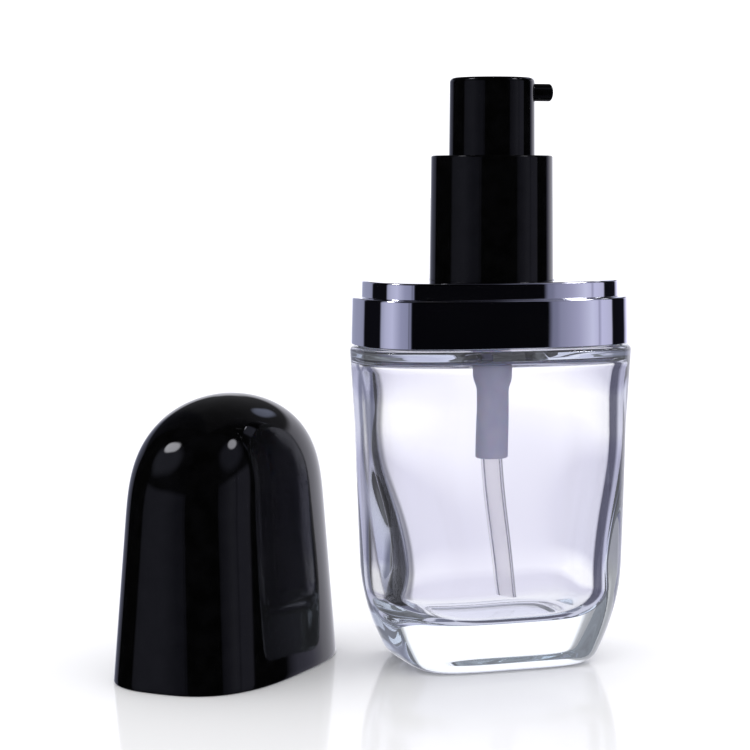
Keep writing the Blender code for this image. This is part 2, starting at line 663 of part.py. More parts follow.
def actuator_core(material):
    """Socket for the stem, the channel that turns to the nozzle, and the fins that centre the shell."""
    profile = [
        (CORE_SOCKET_RADIUS, CORE_BOTTOM), (CORE_RADIUS, CORE_BOTTOM), (CORE_RADIUS, CORE_TOP),
        (0, CORE_TOP), (0, NOZZLE_HEIGHT + CORE_CHANNEL_RADIUS / 2),
        (CORE_CHANNEL_RADIUS, NOZZLE_HEIGHT + CORE_CHANNEL_RADIUS / 2),
        (CORE_CHANNEL_RADIUS, CORE_SOCKET_TOP), (CORE_SOCKET_RADIUS, CORE_SOCKET_TOP),
    ]
    core = turned("actuator_core", profile, material, SMALL_SIDES)
    arm = along_x("cut_core_arm", 2 * MM, CORE_ARM_END, CORE_ARM_RADIUS, NOZZLE_HEIGHT, material)
    combine(core, arm, "UNION")
    low, high = CORE_FIN_HEIGHTS
    inner = CORE_RADIUS - 0.3 * MM
    outer = ACTUATOR_BORE_RADIUS - 2 * GAP
    for quarter in (1, 2, 3):
        fin = block(
            f"cut_core_fin_{quarter}", (outer - inner, CORE_FIN_THICKNESS, high - low),
            ((outer + inner) / 2, 0, (low + high) / 2), quarter * math.pi / 2, material,
        )
        combine(core, fin, "UNION")
    channel = along_x(
        "cut_core_channel", 0, 7 * MM, CORE_CHANNEL_RADIUS, NOZZLE_HEIGHT, material, TINY_SIDES
    )
    combine(core, channel, "DIFFERENCE")
    return core


def nozzle_tip(material):
    """The short spout: its spigot is pressed into the core, and its mouth has a rounded rim."""
    bore, radius, edge = NOZZLE_BORE_RADIUS, NOZZLE_RADIUS, NOZZLE_EDGE
    profile = [
        (bore, NOZZLE_SPIGOT_START), (NOZZLE_SPIGOT_RADIUS, NOZZLE_SPIGOT_START),
        (NOZZLE_SPIGOT_RADIUS, NOZZLE_START), (radius, NOZZLE_START),
        *arc((radius - edge, NOZZLE_END - edge), edge, 0, 90), (bore, NOZZLE_END),
    ]
    tip = turned("nozzle_tip", profile, material, SMALL_SIDES)
    tip.rotation_euler = (0, math.pi / 2, 0)
    tip.location = (0, 0, NOZZLE_HEIGHT)
    return tip


# Cap.


def cap_shell(material):
    """The domed outer cap, from its inner crown down to the rim and up again outside."""
    inner_height = CAP_HEIGHT - CAP_CROWN_WALL
    shares = (0.996, 0.97, 0.92, 0.84, 0.74, 0.62, 0.3)
    rings = [cap_ring(share * inner_height, CAP_WALL, inner_height) for share in shares]
    rings += [cap_ring(0.0, CAP_WALL, inner_height), cap_ring(0.0, 0.0, CAP_HEIGHT)]
    outer_shares = (0.3, 0.58, 0.68, 0.77, 0.85, 0.91, 0.955, 0.985, 0.998)
    rings += [cap_ring(share * CAP_HEIGHT, 0.0, CAP_HEIGHT) for share in outer_shares]
    return loft("cap_shell", rings, material)


def cap_liner(material):
    """The plate glued inside the rim, and the round socket that grips the sleeve."""
    half_width = COLLAR_HALF_WIDTH - CAP_WALL - BODY_DRAFT * LINER_FLOOR - 2 * GAP
    half_depth = COLLAR_HALF_DEPTH - CAP_WALL - BODY_DRAFT * LINER_FLOOR - 2 * GAP
    bead_height = LINER_FLOOR + 1.5 * MM
    rings = [
        oval(half_width, half_depth, OVAL_POWER, LINER_BOTTOM),
        oval(half_width, half_depth, OVAL_POWER, LINER_FLOOR),
        circle(LINER_RADIUS, LINER_FLOOR),
        circle(LINER_RADIUS, LINER_TOP),
        circle(LINER_BORE_RADIUS, LINER_TOP),
        circle(LINER_BORE_RADIUS, bead_height + 0.6 * MM),
        circle(LINER_BORE_RADIUS - LINER_BEAD, bead_height),
        circle(LINER_BORE_RADIUS, bead_height - 0.6 * MM),
        circle(LINER_BORE_RADIUS + GAP, LINER_BOTTOM),
    ]
    return loft("cap_liner", rings, material, closed=True)


def place_cap(pieces):
    """Stands the cap's pieces on the table beside the bottle, on one empty."""
    stand = bpy.data.objects.new("cap_stand", None)
    bpy.context.collection.objects.link(stand)
    stand.location = (*CAP_CENTRE, 0)
    stand.rotation_euler = (0, 0, CAP_TURN)
    for piece in pieces:
        piece.parent = stand


def main():
    clear_scene()
    glass = plastic("clear_glass", (0.90, 0.93, 0.95), 0.02, alpha=0.35)
    plated = plastic("plated_silver", (0.80, 0.80, 0.84), 0.06, metallic=1.0)
    black = plastic("gloss_black", (0.008, 0.008, 0.010), 0.08)
    natural = plastic("natural_polypropylene", (0.78, 0.79, 0.82), 0.35)
    clear_tube = plastic("clear_polyethylene", (0.85, 0.86, 0.88), 0.30)
    soft = plastic("white_polyethylene", (0.86, 0.86, 0.84), 0.50)
    steel = plastic("spring_steel", (0.62, 0.62, 0.62), 0.25, metallic=1.0)
    ball_glass = plastic("ball_glass", (0.85, 0.88, 0.88), 0.05)

    glass_bottle(glass)
    collar_shell(plated)
    collar_insert(natural)
    screw_closure(black)
    sleeve_cover(black)
    neck_gasket(soft)
    pump_housing(natural)
    stem_guide(natural)
    dip_tube(clear_tube)
    inlet_ball(ball_glass)
    return_spring(steel)
    stem(natural)
    stem_valve(natural)
    piston_seal(soft)
    actuator_shell(black)
    actuator_core(natural)
    nozzle_tip(black)
    place_cap([cap_shell(black), cap_liner(natural)])


main()
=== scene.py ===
"""Looks for the foundation bottle: fine visual pieces, materials, floor, studio light and camera.

Frame: metres, +Z up. The origin is the centre of the glass base, +X runs along the wide side of the
bottle towards the nozzle, and the front of the bottle faces -Y.
"""

import math

import bmesh
import bpy
from mathutils import Matrix, Vector


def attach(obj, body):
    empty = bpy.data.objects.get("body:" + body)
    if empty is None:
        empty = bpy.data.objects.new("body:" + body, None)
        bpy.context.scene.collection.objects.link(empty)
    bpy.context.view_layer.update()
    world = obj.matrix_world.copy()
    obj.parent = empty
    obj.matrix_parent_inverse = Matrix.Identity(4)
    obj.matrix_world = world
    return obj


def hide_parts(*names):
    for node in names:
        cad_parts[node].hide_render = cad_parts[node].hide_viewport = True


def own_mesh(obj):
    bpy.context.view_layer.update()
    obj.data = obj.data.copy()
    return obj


MM = 0.001

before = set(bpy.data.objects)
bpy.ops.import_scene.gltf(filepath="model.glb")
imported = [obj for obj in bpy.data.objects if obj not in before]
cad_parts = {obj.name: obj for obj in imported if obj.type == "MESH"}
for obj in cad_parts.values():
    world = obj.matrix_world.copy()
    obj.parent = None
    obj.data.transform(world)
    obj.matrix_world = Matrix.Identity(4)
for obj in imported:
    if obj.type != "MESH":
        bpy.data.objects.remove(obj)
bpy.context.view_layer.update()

# Sizes, the same as the CAD's.
OVAL_POWER = 2.82
COLLAR_HALF_WIDTH = 24.0 * MM
COLLAR_HALF_DEPTH = 14.43 * MM
BODY_DRAFT = 0.067

GLASS_HEIGHT = 54.4 * MM
GLASS_HALF_WIDTH = 24.2 * MM
GLASS_HALF_DEPTH = 15.0 * MM
GLASS_DEPTH_DRAFT = 0.013
GLASS_BASE_POWER = 4.4
GLASS_BASE_TUCK = (4.4 * MM, 1.7 * MM)
GLASS_TUCK_HEIGHT = 17.0 * MM
GLASS_FLOOR = 8.2 * MM
GLASS_CEILING = 52.6 * MM
GLASS_SIDE_WALL = (2.5 * MM, 4.1 * MM)
GLASS_FACE_WALL = (2.4 * MM, 2.9 * MM)
BASE_EDGE = 1.8 * MM
SHOULDER_EDGE = 1.0 * MM
CEILING_CORNER = 1.4 * MM
CAVITY_CORNER_RADIUS = 5.0 * MM
# How far that corner runs inwards along the wide and the deep side, in shares of its radius.
CAVITY_CORNER_REACH = (1.2, 0.5)
NECK_RADIUS = 7.8 * MM
NECK_BORE_RADIUS = 6.1 * MM
BORE_FLARE = 1.5 * MM
NECK_TOP = 70.0 * MM

CAP_CENTRE = (-44.6 * MM, 8.3 * MM)
CAP_TURN = math.radians(46.5)
CAP_HEIGHT = 46.6 * MM
CAP_DEPTH_DRAFT = 0.058
CROWN_START = (26.5 * MM, 29.0 * MM)
CROWN_POWER = (2.7, 3.1)
CROWN_OVAL_POWER = 2.4
CAP_WALL = 1.4 * MM
CAP_CROWN_WALL = 2.2 * MM

# Fineness of the visual meshes.
SIDES = 224
ROUND_SIDES = 128
GLASS_RING_STEP = 0.9 * MM

# The cavity wall's unevenness: its height on the walls and on the floor, and on the narrow sides an
# S-shaped swell, so many times as high, with its middle and its length in millimetres.
WALL_WAVE = 0.10 * MM
FLOOR_WAVE = 0.04 * MM
SIDE_SWELL = 5.0
SIDE_SWELL_MIDDLE = 27.0
SIDE_SWELL_LENGTH = 34.0

# The dip tube: how far its end leans towards +X, its outside, its bore and its lowest point.
TUBE_LEAN = 2.6 * MM
TUBE_RADIUS = 1.8 * MM
TUBE_BORE_RADIUS = 1.25 * MM
TUBE_BOTTOM = 10.4 * MM


# Mesh building.


def make_object(name, bm, material, sharp=35):
    """The mesh as a smooth-shaded object with one material."""
    bmesh.ops.recalc_face_normals(bm, faces=bm.faces)
    mesh = bpy.data.meshes.new(name)
    bm.to_mesh(mesh)
    bm.free()
    mesh.shade_smooth()
    mesh.set_sharp_from_angle(angle=math.radians(sharp))
    mesh.materials.append(material)
    obj = bpy.data.objects.new(name, mesh)
    bpy.context.collection.objects.link(obj)
    return obj


def even_normals(obj):
    """Keeps flat faces flat beside their rounded edges."""
    modifier = obj.modifiers.new("even_normals", "WEIGHTED_NORMAL")
    modifier.keep_sharp = True
    modifier.weight = 100


def oval(half_width, half_depth, power, z, sides=SIDES):
    """One level superellipse outline."""
    points = []
    for i in range(sides):
        angle = 2 * math.pi * i / sides
        c, s = math.cos(angle), math.sin(angle)
        reach = (abs(c) ** power + abs(s) ** power) ** (-1 / power)
        points.append(Vector((half_width * c * reach, half_depth * s * reach, z)))
    return points


def circle(radius, z, sides=SIDES):
    return oval(radius, radius, 2.0, z, sides)


def skin(name, rings, material, closed=False, sharp=35):
    """A closed surface over rings of equal count. Open lofts end in a fan round a middle point."""
    bm = bmesh.new()
    loops = [[bm.verts.new(point) for point in ring] for ring in rings]
    count = len(rings[0])
    pairs = list(zip(loops, loops[1:]))
    if closed:
        pairs.append((loops[-1], loops[0]))
    else:
        for loop in (loops[0], loops[-1]):
            middle = sum((vert.co for vert in loop), Vector()) / count
            hub = bm.verts.new(middle)
            for i in range(count):
                bm.faces.new((loop[i], loop[(i + 1) % count], hub))
    for lower, upper in pairs:
        for i in range(count):
            j = (i + 1) % count
            bm.faces.new((lower[i], lower[j], upper[j], upper[i]))
    return make_object(name, bm, material, sharp)


def turned(name, profile, material, sides=ROUND_SIDES):
    """A closed solid of revolution about Z from a closed profile of (radius, height) points."""
    bm = bmesh.new()
    loops = []
    for radius, z in profile:
        if radius == 0:
            loops.append([bm.verts.new((0, 0, z))] * sides)
        else:
            loops.append([bm.verts.new(point) for point in circle(radius, z, sides)])
    for lower, upper in zip(loops, loops[1:] + loops[:1]):
        for i in range(sides):
            j = (i + 1) % sides
            corners = dict.fromkeys((lower[i], lower[j], upper[j], upper[i]))
            if len(corners) > 2:
                bm.faces.new(tuple(corners))
    return make_object(name, bm, material)


def quarter(steps):
    """Angles from 0 to 90 degrees in equal steps, in radians."""
    return [math.radians(90 * step / steps) for step in range(steps + 1)]


def arc(centre, radius, start, end, steps=6):
    """Points (radius, height) of a round corner; angles in degrees, from the +radius direction."""
    angles = [math.radians(start + (end - start) * i / steps) for i in range(steps + 1)]
    return [(centre[0] + radius * math.cos(a), centre[1] + radius * math.sin(a)) for a in angles]


def swept(name, path, radius, material, sides=24, bore=None):
    """A round rod along a path, or with a bore a tube."""
    start = (path[1] - path[0]).normalized()
    side = min((Vector((1, 0, 0)), Vector((0, 1, 0))), key=lambda axis: abs(axis.dot(start)))
    frames = []
    for i, point in enumerate(path):
        along = (path[min(i + 1, len(path) - 1)] - path[max(i - 1, 0)]).normalized()
        side = (side - along * side.dot(along)).normalized()
        frames.append((point, side.copy(), along.cross(side)))

    def loop(at, size):
        point, u, v = at
        angles = [2 * math.pi * k / sides for k in range(sides)]
        return [point + (u * math.cos(a) + v * math.sin(a)) * size for a in angles]

    rings = [loop(at, radius) for at in frames]
    if bore is None:
        return skin(name, rings, material)
    rings += [loop(at, bore) for at in reversed(frames)]
    return skin(name, rings, material, closed=True)


# Materials.


def new_material(name, colour, roughness, **sockets):
    """A Principled material; further sockets by their name with _ for a space."""
    material = bpy.data.materials.new(name)
    material.use_nodes = True
    shader = material.node_tree.nodes["Principled BSDF"]
    shader.inputs["Base Color"].default_value = (*colour, 1.0)
    shader.inputs["Roughness"].default_value = roughness
    for socket, value in sockets.items():
        shader.inputs[socket.replace("_", " ")].default_value = value
    return material


def add_noise(material, scale, stretch=(1, 1, 1), detail=4.0):
    """A noise pattern in the object's own space, as a value socket."""
    tree = material.node_tree
    coordinates = tree.nodes.new("ShaderNodeTexCoord")
    mapping = tree.nodes.new("ShaderNodeMapping")
    mapping.inputs["Scale"].default_value = stretch
    noise = tree.nodes.new("ShaderNodeTexNoise")
    noise.inputs["Scale"].default_value = scale
    noise.inputs["Detail"].default_value = detail
    tree.links.new(coordinates.outputs["Object"], mapping.inputs["Vector"])
    tree.links.new(mapping.outputs["Vector"], noise.inputs["Vector"])
    return noise.outputs["Fac"]


def vary_roughness(material, scale, low, high, stretch=(1, 1, 1)):
    """Roughness that drifts between two values."""
    tree = material.node_tree
    spread = tree.nodes.new("ShaderNodeMapRange")
    spread.inputs["From Min"].default_value = 0.35
    spread.inputs["From Max"].default_value = 0.7
    spread.inputs["To Min"].default_value = low
    spread.inputs["To Max"].default_value = high
    tree.links.new(add_noise(material, scale, stretch), spread.inputs["Value"])
    tree.links.new(spread.outputs["Result"], tree.nodes["Principled BSDF"].inputs["Roughness"])


def vary_colour(material, scale, dark, light):
    """Base colour that drifts between two colours."""
    tree = material.node_tree
    ramp = tree.nodes.new("ShaderNodeValToRGB")
    ramp.color_ramp.elements[0].position = 0.35
    ramp.color_ramp.elements[0].color = (*dark, 1.0)
    ramp.color_ramp.elements[1].position = 0.65
    ramp.color_ramp.elements[1].color = (*light, 1.0)
    tree.links.new(add_noise(material, scale), ramp.inputs["Fac"])
    tree.links.new(ramp.outputs["Color"], tree.nodes["Principled BSDF"].inputs["Base Color"])


def add_bump(material, scale, height, stretch=(1, 1, 1), detail=3.0):
    """Bump of this height in metres."""
    tree = material.node_tree
    bump = tree.nodes.new("ShaderNodeBump")
    bump.inputs["Strength"].default_value = 1.0
    bump.inputs["Distance"].default_value = height
    tree.links.new(add_noise(material, scale, stretch, detail), bump.inputs["Height"])
    tree.links.new(bump.outputs["Normal"], tree.nodes["Principled BSDF"].inputs["Normal"])


def glass_material():
    """Clear flint glass with a trace of blue-green in its depth."""
    material = new_material(
        "clear_glass", (1.0, 1.0, 1.0), 0.0, Transmission_Weight=1.0, IOR=1.5
    )
    vary_roughness(material, 90.0, 0.0, 0.012)
    add_bump(material, 55.0, 0.000022, (1, 1, 0.6), 2.0)
    tree = material.node_tree
    tint = tree.nodes.new("ShaderNodeVolumeAbsorption")
    tint.inputs["Color"].default_value = (0.60, 0.83, 0.86, 1.0)
    tint.inputs["Density"].default_value = 9.0
    # A faint glow stands for the light of long inner paths, which the renderer cuts off.
    gathered = tree.nodes.new("ShaderNodeEmission")
    gathered.inputs["Color"].default_value = (0.68, 0.68, 0.77, 1.0)
    gathered.inputs["Strength"].default_value = 4.0
    both = tree.nodes.new("ShaderNodeAddShader")
    output = tree.nodes["Material Output"]
    tree.links.new(tint.outputs["Volume"], both.inputs[0])
    tree.links.new(gathered.outputs["Emission"], both.inputs[1])
    tree.links.new(both.outputs["Shader"], output.inputs["Volume"])
    return material


def plated_material():
    """Mirror silver plating on moulded plastic, with the faint ripple of its base."""
    material = new_material("plated_silver", (0.86, 0.86, 0.90), 0.03, Metallic=1.0)
    vary_roughness(material, 120.0, 0.008, 0.03)
    add_bump(material, 110.0, 0.00002, (1, 1, 0.35), 2.0)
    return material


def black_material():
    """High-gloss black plastic: deep colour, a slight orange peel and fine polish haze."""
    material = new_material("gloss_black", (0.001, 0.001, 0.001), 0.05, IOR=1.27)
    vary_roughness(material, 150.0, 0.03, 0.08)
    vary_colour(material, 400.0, (0.0006, 0.0006, 0.0006), (0.0014, 0.0014, 0.0016))
    add_bump(material, 260.0, 0.000006, (1, 1, 0.4), 2.0)
    return material


def natural_material():
    """Milky polypropylene, slightly cloudy, its colour darkened to a blue-grey as painted shade and
    drifting at random in tone.
    """
    material = new_material(
        "natural_polypropylene", (0.50, 0.50, 0.66), 0.35,
        Subsurface_Weight=0.3, Subsurface_Scale=0.002,
    )
    # These tones, like the base colour, are painted shade: a darkened blue-grey in place of the
    # milky plastic's own pale colour, with a real random drift between them.
    vary_colour(material, 180.0, (0.46, 0.465, 0.63), (0.54, 0.545, 0.70))
    vary_roughness(material, 200.0, 0.28, 0.45)
    add_bump(material, 500.0, 0.00001)
    return material


def tube_material():
    """Translucent extruded tube, with faint lines along its length."""
    material = new_material(
        "clear_polyethylene", (1.0, 0.99, 1.0), 0.08, Transmission_Weight=0.88, IOR=1.2
    )
    vary_roughness(material, 300.0, 0.05, 0.14, (1, 1, 0.1))
    add_bump(material, 700.0, 0.000002, (1, 1, 0.05))
    return material


def soft_material():
    """Soft white polyethylene of the gasket and the piston."""
    material = new_material("white_polyethylene", (0.84, 0.84, 0.82), 0.5)
    vary_colour(material, 220.0, (0.80, 0.80, 0.78), (0.88, 0.88, 0.86))
    add_bump(material, 600.0, 0.00001)
    return material


def steel_material():
    """Drawn stainless wire."""
    material = new_material("spring_steel", (0.62, 0.61, 0.60), 0.25, Metallic=1.0)
    vary_roughness(material, 500.0, 0.18, 0.35)
    add_bump(material, 1500.0, 0.000004)
    return material


def ball_material():
    """The small glass ball of the inlet valve."""
    material = new_material(
        "ball_glass", (0.95, 0.98, 0.98), 0.02, Transmission_Weight=0.9, IOR=1.5
    )
    vary_roughness(material, 600.0, 0.0, 0.06)
    return material


GLASS = glass_material()
PLATED = plated_material()
BLACK = black_material()
NATURAL_SHADED = natural_material()
TUBE = tube_material()
SOFT = soft_material()
STEEL = steel_material()
BALL = ball_material()


# Shape rules.


def glass_outline(z):
    """Half width, half depth and power of the glass body's outside at a height."""
    tuck = max(0.0, 1 - z / GLASS_TUCK_HEIGHT) ** 2
    drop = GLASS_HEIGHT - z
    half_width = GLASS_HALF_WIDTH - BODY_DRAFT * drop - GLASS_BASE_TUCK[0] * tuck
    half_depth = GLASS_HALF_DEPTH - GLASS_DEPTH_DRAFT * drop - GLASS_BASE_TUCK[1] * tuck
    rise = min(1.0, z / (0.75 * GLASS_HEIGHT))
    power = GLASS_BASE_POWER + (OVAL_POWER - GLASS_BASE_POWER) * rise
    return half_width, half_depth, power


def cavity_outline(z):
    """The same of the cavity in it."""
    half_width, half_depth, power = glass_outline(max(z, GLASS_TUCK_HEIGHT))
    low = (GLASS_CEILING - z) / (GLASS_CEILING - GLASS_FLOOR)
    side = GLASS_SIDE_WALL[0] + (GLASS_SIDE_WALL[1] - GLASS_SIDE_WALL[0]) * low
    face = GLASS_FACE_WALL[0] + (GLASS_FACE_WALL[1] - GLASS_FACE_WALL[0]) * low
    return half_width - side, half_depth - face, power


def inset_oval(outline, z, inset):
    """One level ring of an outline, this far inside it."""
    half_width, half_depth, power = outline
    return oval(half_width - inset, half_depth - inset, power, z)


def wavy(ring, amount):
    """The slow unevenness of a blown cavity wall, strongest on its narrow sides."""
    out = []
    for point in ring:
        angle = math.atan2(point.y, point.x)
        z = point.z / MM
        swell = 0.4 * math.sin(2 * angle + 0.11 * z) + 0.3 * math.sin(3 * angle - 0.17 * z + 1.3)
        swell += (
            0.15 * math.sin(5 * angle + 0.23 * z + 0.4)
            + 0.2 * math.sin(0.3 * z + 2.0 * math.cos(angle))
        )
        bend = math.sin(2 * math.pi * (z - SIDE_SWELL_MIDDLE) / SIDE_SWELL_LENGTH)
        swell += SIDE_SWELL * math.cos(angle) ** 2 * bend
        outward = Vector((point.x, point.y, 0)).normalized()
        out.append(point + outward * swell * amount)
    return out


def crown(z, start, power, height):
    """How much of the cap's width is left at a height, from 1 at start to 0 at the top."""
    rise = max(0.0, (z - start) / (height - start))
    return math.sqrt(max(0.0, 1 - rise**power))


def cap_ring(z, wall, height):
    """One level outline of the cap, this far inside its outside."""
    half_width = COLLAR_HALF_WIDTH - BODY_DRAFT * z - wall
    half_depth = COLLAR_HALF_DEPTH - CAP_DEPTH_DRAFT * z - wall
    half_width *= crown(z, CROWN_START[0], CROWN_POWER[0], height)
    half_depth *= crown(z, CROWN_START[1], CROWN_POWER[1], height)
    power = OVAL_POWER + (CROWN_OVAL_POWER - OVAL_POWER) * z / height
    return oval(half_width, half_depth, power, z)


# Pieces on the bottle.


def underside_rings():
    """A shallow push-up in the middle, then the bearing ring with fine ribs across it."""
    half_width, half_depth, power = glass_outline(0)
    half_width -= BASE_EDGE
    half_depth -= BASE_EDGE
    push_up = 0.35 * MM
    rings = []
    for share, lift in ((0.25, 1.0), (0.5, 0.98), (0.68, 0.85), (0.76, 0.45), (0.80, 0.12)):
        rings.append(oval(half_width * share, half_depth * share, power, push_up * lift))
    for step, rib in enumerate((0.0, 0.16, 0.18, 0.16, 0.0)):
        share = 0.82 + 0.04 * step
        ring = oval(half_width * share, half_depth * share, power, 0.0)
        for point in ring[1::2]:
            point.z += rib * MM
        rings.append(ring)
    return rings


def outside_rings():
    """From the base's rounded edge up the body to the shoulder's rounded edge."""
    rings = []
    for angle in quarter(6):
        z = BASE_EDGE * (1 - math.cos(angle))
        rings.append(inset_oval(glass_outline(z), z, BASE_EDGE * (1 - math.sin(angle))))
    z = BASE_EDGE + 0.6 * MM
    top = GLASS_HEIGHT - SHOULDER_EDGE
    while z < top - 0.5 * MM:
        rings.append(inset_oval(glass_outline(z), z, 0))
        z += GLASS_RING_STEP
    for angle in quarter(6):
        z = top + SHOULDER_EDGE * math.sin(angle)
        rings.append(inset_oval(glass_outline(z), z, SHOULDER_EDGE * (1 - math.cos(angle))))
    return rings


def neck_rings():
    """The neck with its bead, thread and rounded lip, and down inside to the bore's end."""
    profile = [
        (NECK_RADIUS + 0.6 * MM, GLASS_HEIGHT), (NECK_RADIUS + 0.2 * MM, GLASS_HEIGHT + 0.15 * MM),
        (NECK_RADIUS, GLASS_HEIGHT + 0.5 * MM), (NECK_RADIUS, 56.3 * MM), (8.3 * MM, 56.45 * MM),
        (8.5 * MM, 56.7 * MM), (8.5 * MM, 57.0 * MM), (8.3 * MM, 57.3 * MM),
        (NECK_RADIUS, 57.5 * MM),
    ]
    lip = arc((NECK_RADIUS - 0.5 * MM, NECK_TOP - 0.5 * MM), 0.5 * MM, 0, 90)
    lip += arc((NECK_BORE_RADIUS + 0.4 * MM, NECK_TOP - 0.4 * MM), 0.4 * MM, 90, 180)
    lip += [(NECK_BORE_RADIUS, GLASS_CEILING + BORE_FLARE)]
    rings = [circle(radius, z) for radius, z in profile]
    rings += neck_thread(58.0 * MM, NECK_TOP - 0.7 * MM)
    rings += [circle(radius, z) for radius, z in lip]
    return rings


def ceiling_rings():
    """From the bore out under the shoulder and round the corner into the cavity's wall."""
    half_width, half_depth, power = cavity_outline(GLASS_CEILING)
    steps = 7
    rings = []
    for step in range(1, steps + 1):
        share = step / steps
        ease = share**1.2
        rings.append(oval(
            NECK_BORE_RADIUS + (half_width - CEILING_CORNER - NECK_BORE_RADIUS) * ease,
            NECK_BORE_RADIUS + (half_depth - CEILING_CORNER - NECK_BORE_RADIUS) * ease,
            2 + (power - 2) * share,
            GLASS_CEILING + BORE_FLARE * (1 - share) ** 2.2,
        ))
    for angle in quarter(6)[1:]:
        z = GLASS_CEILING - CEILING_CORNER * (1 - math.cos(angle))
        inset = CEILING_CORNER * (1 - math.sin(angle))
        rings.append(inset_oval(cavity_outline(z), z, inset))
    return rings


def cavity_rings():
    """Down the cavity's uneven walls, round its bottom corner and across its floor."""
    corner = CAVITY_CORNER_RADIUS
    across, deep = CAVITY_CORNER_REACH
    rings = []
    z = GLASS_CEILING - 2.2 * MM
    while z > GLASS_FLOOR + corner + 0.3 * MM:
        fade = min(1.0, (GLASS_CEILING - CEILING_CORNER - z) / (6 * MM))
        rings.append(wavy(inset_oval(cavity_outline(z), z, 0), WALL_WAVE * fade))
        z -= GLASS_RING_STEP
    for step, angle in enumerate(quarter(10)):
        back = corner * (1 - math.cos(angle))
        z = GLASS_FLOOR + corner * (1 - math.sin(angle))
        half_width, half_depth, power = cavity_outline(z)
        ring = oval(half_width - across * back, half_depth - deep * back, power, z)
        rings.append(wavy(ring, WALL_WAVE * (1 - 0.6 * step / 10)))
    half_width, half_depth, power = cavity_outline(GLASS_FLOOR)
    half_width -= across * corner
    half_depth -= deep * corner
    for share in (0.94, 0.86, 0.7, 0.5, 0.25):
        z = GLASS_FLOOR + 0.25 * MM * (1 - share) ** 0.5
        ring = oval(half_width * share, half_depth * share, power, z)
        rings.append(wavy(ring, FLOOR_WAVE * share))
    return rings


def glass_body():
    """The whole bottle in glass, as one surface from its underside round into its cavity."""
    rings = underside_rings() + outside_rings() + neck_rings() + ceiling_rings() + cavity_rings()
    return skin("glass_body", rings, GLASS, sharp=60)


def neck_thread(bottom, top):
    """Rings of the neck between two heights, with a right-hand ridge of one and a quarter turns."""
    pitch, turns, start = 3.175 * MM, 1.25, 61.5 * MM
    crest, root_width, crest_width = 8.6 * MM, 1.5 * MM, 0.6 * MM
    run_out = 0.08
    count = 60
    rings = []
    for k in range(count + 1):
        z = bottom + (top - bottom) * k / count
        ring = []
        for i in range(SIDES):
            angle = 2 * math.pi * i / SIDES
            stand = 0.0
            for turn in (0, 1):
                along = angle / (2 * math.pi) + turn
                if along > turns:
                    continue
                off = abs(z - (start + pitch * along))
                slope = (root_width / 2 - off) / (root_width / 2 - crest_width / 2)
                fade = min(1.0, min(along, turns - along) / run_out)
                stand = max(stand, min(1.0, max(0.0, slope)) * fade)
            radius = NECK_RADIUS + (crest - NECK_RADIUS) * stand
            ring.append(Vector((radius * math.cos(angle), radius * math.sin(angle), z)))
        rings.append(ring)
    return rings


def collar():
    """The plated two-tier collar with rounded edges, open below."""
    bottom, ledge, top = 54.7 * MM, 62.7 * MM, 65.5 * MM
    draft, step, wall, edge = 0.15 * MM, 1.69 * MM, 1.1 * MM, 0.35 * MM
    hole = 10.95 * MM

    def at(z, inset):
        """One level ring of the collar."""
        return oval(COLLAR_HALF_WIDTH - inset, COLLAR_HALF_DEPTH - inset, OVAL_POWER, z)

    def rounded(z, inset, radius, start, end):
        """Rings of a fillet whose centre lies at this height and inset."""
        steps = 6
        rings = []
        for i in range(steps + 1):
            angle = math.radians(start + (end - start) * i / steps)
            rings.append(at(z + radius * math.sin(angle), inset - radius * math.cos(angle)))
        return rings

    rings = rounded(bottom + 0.15 * MM, 0.15 * MM, 0.15 * MM, -90, 0)
    rings += [at(bottom + 2.5 * MM, 0.03 * MM), at(ledge - 2 * MM, draft - 0.03 * MM)]
    rings += rounded(ledge - edge, draft + edge, edge, 0, 90)
    rings += [
        at(ledge, step - 0.25 * MM), at(ledge + 0.02 * MM, step - 0.08 * MM),
        at(ledge + 0.12 * MM, step), at(top - 1.4 * MM, step + 0.02 * MM),
    ]
    rings += rounded(top - edge, step + 0.05 * MM + edge, edge, 0, 90)
    rings += [
        at(top, step + 1.2 * MM), circle(hole + 0.25 * MM, top),
        circle(hole + 0.07 * MM, top - 0.07 * MM), circle(hole, top - 0.25 * MM),
        circle(hole, top - wall), at(top - wall, step + wall),
        at(ledge - wall, step + wall), at(ledge - wall, wall + draft), at(bottom, wall),
    ]
    obj = skin("collar_plated", rings, PLATED, closed=True, sharp=50)
    even_normals(obj)
    return obj


def sleeve():
    """The black tube with its lid, drafted, with a small rounded top edge."""
    bottom, top, edge = 58.0 * MM, 86.6 * MM, 0.35 * MM
    wide, narrow, bore, hole, lid = 10.64 * MM, 10.35 * MM, 9.75 * MM, 7.6 * MM, 1.2 * MM
    profile = [(bore, bottom)]
    profile += arc((wide - 0.3 * MM, bottom + 0.3 * MM), 0.3 * MM, -90, 0)
    profile += [(wide - 0.1 * MM, bottom + 10 * MM)]
    profile += arc((narrow - edge, top - edge), edge, 0, 90)
    profile += arc((hole + 0.2 * MM, top - 0.2 * MM), 0.2 * MM, 90, 180)
    profile += [(hole, top - lid), (bore, top - lid)]
    obj = turned("sleeve_gloss", profile, BLACK)
    even_normals(obj)
    return obj


